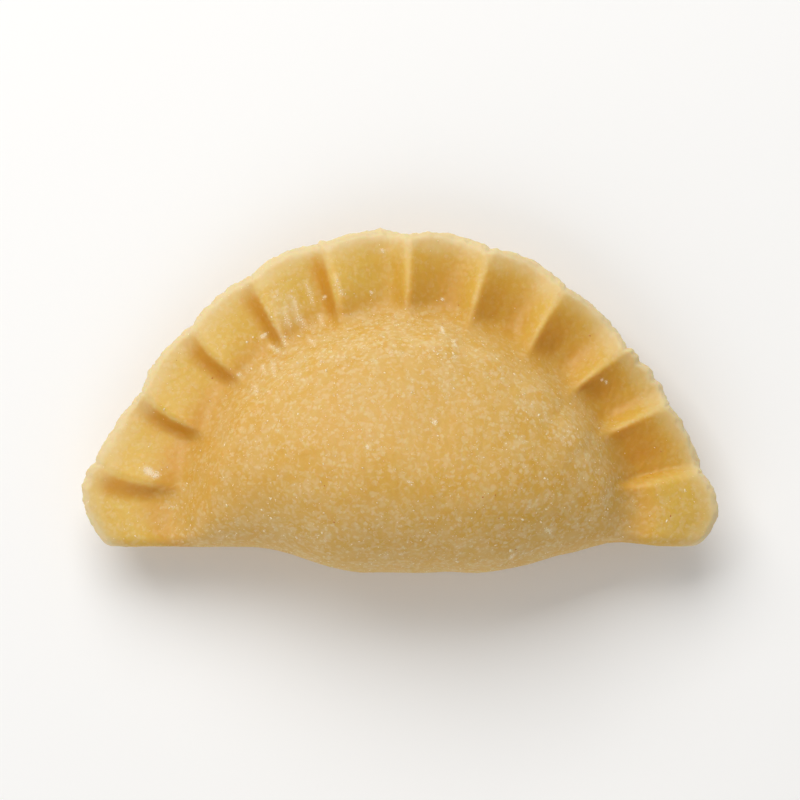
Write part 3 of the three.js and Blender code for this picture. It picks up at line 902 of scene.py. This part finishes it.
def bare_and_shade_share(points, from_edge, angle, side):
    """How bare and how shaded the dough is, from 0 to 1: bare dough with painted shade in the valleys,
    painted shade on the lee slopes, and painted shade at the belly's foot and on its left flank.
    """
    to_left = smooth_step(RIGHT_PLEATS_TO, LEFT_PLEATS_FROM, angle)
    deepest = BARE_RIGHT + (BARE_LEFT - BARE_RIGHT) * to_left
    # Bare dough and painted shade in the valleys, and painted shade on the lee slopes.
    valley = np.maximum(deepest * (1 - pleat_height(angle)) ** BARE_CURVE, lee_shade(angle))
    full_from = BARE_FULL_RIGHT + (BARE_FULL_LEFT - BARE_FULL_RIGHT) * to_left
    inward = BARE_AT_EDGE + (1 - BARE_AT_EDGE) * smooth_step(BARE_FROM, full_from, from_edge)
    bare_and_shade = valley * inward * smooth_step(BARE_GONE_BEYOND, BARE_FULL_WITHIN, from_edge)
    # Painted shade in the crease at the belly's foot and on its left flank.
    foot = SHADE_AT_FOOT.most * bump((from_edge - SHADE_AT_FOOT.from_edge) / SHADE_AT_FOOT.spread)
    foot += near_spot(points, SHADE_ON_FLANK)
    return np.maximum(bare_and_shade, foot) * np.where(side < 0, BARE_UNDERNEATH, 1)


def dough_shares(points, places, size):
    """Each vertex's share of every kind of dough and flour that the material tells apart, and of the
    painted shade and the painted highlight.
    """
    from_edge, angle, side = places.T
    bare_and_shade = bare_and_shade_share(points, from_edge, angle, side)
    rim = smooth_step(size.rim_width + RIM_COLOUR_GONE, size.rim_width - RIM_COLOUR_WITHIN, from_edge)
    phase = pleat_phase(angle)
    to_line = np.minimum(phase, 1 - phase) * PLEAT_WIDTH
    # The painted highlight: a thin pale line along each raised line.
    crest_highlight = bump(to_line / (CREST_WIDTH + waves(points, CREST_WAVES)))
    lip = LIP_WIDTH + near_angle(angle, LIP_BROADER) + waves(points, LIP_WAVES)
    return {
        "rim_share": rim,
        "bare_and_shade": bare_and_shade,
        "crest_highlight": crest_highlight * rim * smooth_step(CREST_FROM_EDGE, CREST_FULL_FROM_EDGE, from_edge),
        "outer_rim": smooth_step(OUTER_RIM_GONE, OUTER_RIM, from_edge + waves(points, OUTER_RIM_WAVES)),
        "cut_edge": smooth_step(lip, LIP_FULL * lip, from_edge),
        "flour": flour_density(points, from_edge, angle, side) * (1 - BARE_WITHOUT_FLOUR * bare_and_shade),
        "caked": caked_flour(lie_in_box(points, points) / MM, side),
    }


def caked_flour(points, side):
    """How far dry flour covers the dough, from 0 to 1, under the clumps and rubbed streaks."""
    x, y = points[:, 0], points[:, 1]
    covered = np.zeros(len(points))
    for at_x, at_y, long, wide, turn in CLUMPS:
        turned = math.radians(turn)
        along = (x - at_x) * math.cos(turned) + (y - at_y) * math.sin(turned)
        across = (y - at_y) * math.cos(turned) - (x - at_x) * math.sin(turned)
        near = np.hypot(along / long, across / wide) / CAKED_REACH
        covered = np.maximum(covered, bump(near))
    for x0, y0, x1, y1 in STREAKS:
        reach = math.hypot(x1 - x0, y1 - y0)
        along = ((x - x0) * (x1 - x0) + (y - y0) * (y1 - y0)) / reach**2
        across = ((y - y0) * (x1 - x0) - (x - x0) * (y1 - y0)) / reach
        faint = smooth_step(STREAK_BEGIN, STREAK_FULL, along)
        faint = faint * smooth_step(STREAK_END, STREAK_FULL_TO, along)
        covered = np.maximum(covered, STREAK_COVER * faint * bump(across / STREAK_WIDTH))
    return np.where(side > 0, covered, 0)


def skin_triangles(skin):
    """The skin's triangles, with the flour density and the normal of each."""
    mesh = skin.data
    points = np.empty(len(mesh.vertices) * 3)
    mesh.vertices.foreach_get("co", points)
    points = points.reshape(-1, 3)
    corners = np.empty(len(mesh.polygons) * 3, dtype=np.int64)
    mesh.polygons.foreach_get("vertices", corners)
    corners = corners.reshape(-1, 3)
    flour = np.empty(len(mesh.vertices), dtype=np.float32)
    mesh.attributes["flour"].data.foreach_get("value", flour)
    triangles = points[corners]
    across = np.cross(triangles[:, 1] - triangles[:, 0], triangles[:, 2] - triangles[:, 0])
    doubled_area = np.linalg.norm(across, axis=1)
    return triangles, across / doubled_area[:, None], doubled_area, flour[corners].mean(1)


def scattered(skin, count, draw, crowding):
    """Random places on the skin and their normals, crowded where the flour lies thick."""
    triangles, normals, area, flour = skin_triangles(skin)
    weights = area * flour**crowding * (triangles[:, :, 2].min(1) > LOWEST_GRAIN)
    chosen = draw.choice(len(weights), count, p=weights / weights.sum())
    first, second = draw.random((2, count))
    folded = first + second > 1
    first[folded], second[folded] = 1 - first[folded], 1 - second[folded]
    corners = triangles[chosen]
    spots = corners[:, 0] + first[:, None] * (corners[:, 1] - corners[:, 0])
    spots += second[:, None] * (corners[:, 2] - corners[:, 0])
    return spots, normals[chosen]


ICOSAHEDRON_EDGE = 1.06  # just over the distance between neighbouring corners
OCTAHEDRON = (
    np.array([[1, 0, 0], [-1, 0, 0], [0, 1, 0], [0, -1, 0], [0, 0, 1], [0, 0, -1]], dtype=float),
    np.array([[0, 2, 4], [2, 1, 4], [1, 3, 4], [3, 0, 4], [2, 0, 5], [1, 2, 5], [3, 1, 5], [0, 3, 5]]),
)


def icosahedron():
    """Corners at distance 1 from the middle, and faces that look outwards."""
    golden = (1 + math.sqrt(5)) / 2
    corners = [[0, a, b * golden] for a in (-1, 1) for b in (-1, 1)]
    corners = np.array([np.roll(c, shift) for shift in range(3) for c in corners])
    corners /= np.linalg.norm(corners[0])
    near = np.linalg.norm(corners[:, None] - corners[None], axis=2) < ICOSAHEDRON_EDGE
    faces = [
        (a, b, c)
        for a in range(12) for b in range(a + 1, 12) for c in range(b + 1, 12)
        if near[a, b] and near[b, c] and near[a, c]
    ]
    faces = np.array(faces)
    a, b, c = (corners[faces[:, i]] for i in range(3))
    inward = np.einsum("ij,ij->i", np.cross(b - a, c - a), a) < 0
    faces[inward] = faces[inward][:, ::-1]
    return corners, faces


def grains(shape, kind, spots, normals, lengths, draw):
    """One irregular grain of the given shape at each spot, its long side along the skin."""
    corners, faces = shape
    count = len(spots)
    along = np.cross(normals, draw.normal(size=(count, 3)))
    along /= np.linalg.norm(along, axis=1, keepdims=True)
    across = np.cross(normals, along)
    widths = lengths * draw.uniform(NARROWEST, WIDEST, count)
    heights = lengths * kind.flatness * draw.uniform(FLATTEST, FULLEST, count)
    bumps = draw.normal(size=(count, len(corners), 1)).clip(-LARGEST_BUMP, LARGEST_BUMP)
    local = corners[None] * (1 + GRAIN_BUMPS * bumps)
    points = spots[:, None] + normals[:, None] * (heights / 2 * (1 - 2 * kind.sunk))[:, None, None]
    for axis, (direction, size) in enumerate(((along, lengths), (across, widths), (normals, heights))):
        points = points + local[:, :, axis : axis + 1] * (direction * (size / 2)[:, None])[:, None]
    offsets = np.arange(count)[:, None, None] * len(corners)
    return points.reshape(-1, 3), (faces[None] + offsets).reshape(-1, 3)


def strewn(shape, kind, count, middle_length, seed):
    """Grains of one kind at random over the whole skin: their corners and faces."""
    draw = np.random.default_rng(seed)
    spots, normals = scattered(need_skin(), count, draw, kind.crowding)
    spread = np.exp(kind.spread * draw.normal(size=count)).clip(kind.shortest, kind.longest)
    return grains(shape, kind, spots, normals, middle_length * spread, draw)


def on_top(skin, x, y):
    """The places on the skin's upper side nearest to the given ones, in metres, and their normals."""
    triangles, normals, _, _ = skin_triangles(skin)
    upper = normals[:, 2] > LEAST_UPWARD
    middles, normals = triangles[upper].mean(1), normals[upper]
    wanted = np.column_stack([x, y]) * MM
    nearest = [np.argmin(((middles[:, :2] - place) ** 2).sum(1)) for place in wanted]
    return middles[nearest], normals[nearest]


def clump_places(draw):
    """Where the grains of every clump and streak lie, in millimetres from the dumpling's middle."""
    places = []
    for x, y, long, wide, turn in CLUMPS:
        count = max(LEAST_GRAINS, int(long * wide * GRAINS_PER_SQUARE_MM))
        along, across = draw.normal(size=(2, count)) * [[long], [wide]] / CLUMP_CROWDING
        turned = math.radians(turn)
        places.append(np.column_stack([
            x + along * math.cos(turned) - across * math.sin(turned),
            y + along * math.sin(turned) + across * math.cos(turned),
        ]))
    for x0, y0, x1, y1 in STREAKS:
        share = np.sqrt(draw.random(int(math.hypot(x1 - x0, y1 - y0) * GRAINS_PER_STREAK_MM)))
        straight = np.column_stack([x0 + (x1 - x0) * share, y0 + (y1 - y0) * share])
        places.append(straight + draw.normal(size=straight.shape) * STREAK_SPREAD)
    return np.concatenate(places)


def need_skin():
    """The dough skin, which every kind of flour lies on."""
    skin = bpy.data.objects.get(SKIN)
    if skin is None:
        raise RuntimeError("The dough skin isn't there yet: make it first")
    return skin


# ---- Operators --------------------------------------------------------------------------------


class PIEROGI_OT_dough_skin(bpy.types.Operator):
    """Make the dumpling's skin of pressed dough and let it stand for the plain solid"""

    bl_idname = "pierogi.dough_skin"
    bl_label = "Dough Skin"

    def execute(self, context):
        size = in_mm(context.scene.pierogi_sizes)
        points, faces, places = skin_mesh(size)
        rough = rough_skin(points, faces, places, size)
        material = pressed_egg_dough(context.scene.pierogi_colours)
        skin = add_piece(SKIN, lie_in_box(rough, points), faces, material)
        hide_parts(NODE)
        for name, values in dough_shares(points, places, size).items():
            add_share(skin, name, values)
        return {"FINISHED"}


class PIEROGI_OT_flour_dust(bpy.types.Operator):
    """Dust the dough with fine flour grains"""

    bl_idname = "pierogi.flour_dust"
    bl_label = "Flour Dust"

    def execute(self, context):
        flour = context.scene.pierogi_flour
        points, faces = strewn(OCTAHEDRON, DUST, flour.dust_count, flour.dust_length, flour.seed)
        add_piece("flour_dust", points, faces, milled_flour(context.scene.pierogi_colours))
        return {"FINISHED"}


class PIEROGI_OT_semolina(bpy.types.Operator):
    """Scatter coarser semolina grains over the dough"""

    bl_idname = "pierogi.semolina"
    bl_label = "Semolina Grains"

    def execute(self, context):
        flour = context.scene.pierogi_flour
        points, faces = strewn(
            icosahedron(), SEMOLINA, flour.semolina_count, flour.semolina_length, flour.seed + 1
        )
        add_piece("semolina_grains", points, faces, bpy.data.materials["milled_wheat_flour"])
        return {"FINISHED"}


class PIEROGI_OT_flour_clumps(bpy.types.Operator):
    """Lay the clumps and rubbed streaks of flour on the upper side"""

    bl_idname = "pierogi.flour_clumps"
    bl_label = "Flour Clumps"

    def execute(self, context):
        flour = context.scene.pierogi_flour
        draw = np.random.default_rng(flour.seed + 3)
        spots, normals = on_top(need_skin(), *clump_places(draw).T)
        lengths = flour.dust_length * draw.uniform(CLUMPED.shortest, CLUMPED.longest, len(spots))
        points, faces = grains(icosahedron(), CLUMPED, spots, normals, lengths, draw)
        add_piece("flour_clumps", points, faces, bpy.data.materials["milled_wheat_flour"])
        return {"FINISHED"}


class PIEROGI_OT_bran(bpy.types.Operator):
    """Set a few flakes of bran in the dough"""

    bl_idname = "pierogi.bran"
    bl_label = "Bran Specks"

    def execute(self, context):
        flour = context.scene.pierogi_flour
        draw = np.random.default_rng(flour.seed + 2)
        skin = need_skin()
        by_chance = scattered(skin, flour.bran_count, draw, BRAN.crowding)
        standing_out = on_top(skin, *np.array(BRAN_SPECKS).T)
        spots, normals = (np.concatenate(pair) for pair in zip(by_chance, standing_out))
        lengths = flour.bran_length * draw.uniform(BRAN.shortest, BRAN.longest, len(spots))
        points, faces = grains(icosahedron(), BRAN, spots, normals, lengths, draw)
        add_piece("bran_specks", points, faces, ground_bran(context.scene.pierogi_colours))
        return {"FINISHED"}


class PIEROGI_OT_stage(bpy.types.Operator):
    """Set up the studio paper, the lights and the camera over the dumpling"""

    bl_idname = "pierogi.stage"
    bl_label = "Stage"

    def execute(self, context):
        scene = context.scene
        stage = scene.pierogi_stage
        low, high = (Vector(corner) for corner in CAD_BOX)
        middle = (low + high) / 2

        turns = np.linspace(0, 2 * math.pi, FLOOR_CORNERS, endpoint=False)
        round_edge = np.column_stack([np.cos(turns), np.sin(turns), np.zeros(FLOOR_CORNERS)])
        corners = round_edge * stage.floor_radius + [0, 0, low.z]
        paper = studio_paper(scene.pierogi_colours)
        floor = new_object("floor", corners, np.arange(FLOOR_CORNERS)[None], paper)

        powers = (stage.key_power, stage.fill_power)
        for panel, power in zip((KEY_SOFTBOX, FILL_PANEL), powers):
            light = bpy.data.lights.new(panel.name, "AREA")
            light.shape = "RECTANGLE"
            light.size, light.size_y = panel.size
            light.energy = power
            lamp = bpy.data.objects.new(panel.name, light)
            lamp.location = panel.place
            lamp.rotation_euler = (middle - lamp.location).to_track_quat("-Z", "Y").to_euler()
            scene.collection.objects.link(lamp)

        world = bpy.data.worlds.new("studio")
        world.use_nodes = True
        background = world.node_tree.nodes["Background"].inputs
        background["Color"].default_value = (1, 1, 1, 1)
        background["Strength"].default_value = stage.room_light
        scene.world = world
        scene.view_settings.view_transform = "Standard"

        camera = bpy.data.cameras.new("camera")
        camera.lens = stage.lens
        camera.clip_end = CAMERA_REACH
        eye = bpy.data.objects.new("camera", camera)
        direction = Vector((0, -math.cos(stage.elevation), math.sin(stage.elevation)))
        eye.location = middle + direction * stage.distance
        eye.rotation_euler = (-direction).to_track_quat("-Z", "Y").to_euler()
        scene.collection.objects.link(eye)
        scene.camera = eye
        return {"FINISHED"}


class PIEROGI_PT_panel(bpy.types.Panel):
    """Lists the steps that make the dumpling"""

    bl_label = "Pierogi Dumpling"
    bl_idname = "PIEROGI_PT_panel"
    bl_space_type = "VIEW_3D"
    bl_region_type = "UI"
    bl_category = "Pierogi"

    def draw(self, context):
        for step in STEPS:
            self.layout.operator(step.bl_idname)
        for name in GROUPS:
            group = getattr(context.scene, name)
            box = self.layout.box()
            for field in group.__annotations__:
                box.prop(group, field)


GROUPS = {
    "pierogi_sizes": PierogiSizes,
    "pierogi_colours": PierogiColours,
    "pierogi_flour": PierogiFlour,
    "pierogi_stage": PierogiStage,
}
STEPS = (
    PIEROGI_OT_dough_skin,
    PIEROGI_OT_flour_dust,
    PIEROGI_OT_semolina,
    PIEROGI_OT_flour_clumps,
    PIEROGI_OT_bran,
    PIEROGI_OT_stage,
)


def register():
    for name, group in GROUPS.items():
        bpy.utils.register_class(group)
        setattr(bpy.types.Scene, name, PointerProperty(type=group))
    for step in (*STEPS, PIEROGI_PT_panel):
        bpy.utils.register_class(step)


def unregister():
    for step in (PIEROGI_PT_panel, *reversed(STEPS)):
        bpy.utils.unregister_class(step)
    for name, group in reversed(GROUPS.items()):
        delattr(bpy.types.Scene, name)
        bpy.utils.unregister_class(group)


def main():
    register()
    bpy.ops.pierogi.dough_skin()
    bpy.ops.pierogi.flour_dust()
    bpy.ops.pierogi.semolina()
    bpy.ops.pierogi.flour_clumps()
    bpy.ops.pierogi.bran()
    bpy.ops.pierogi.stage()


if __name__ == "__main__":
    main()
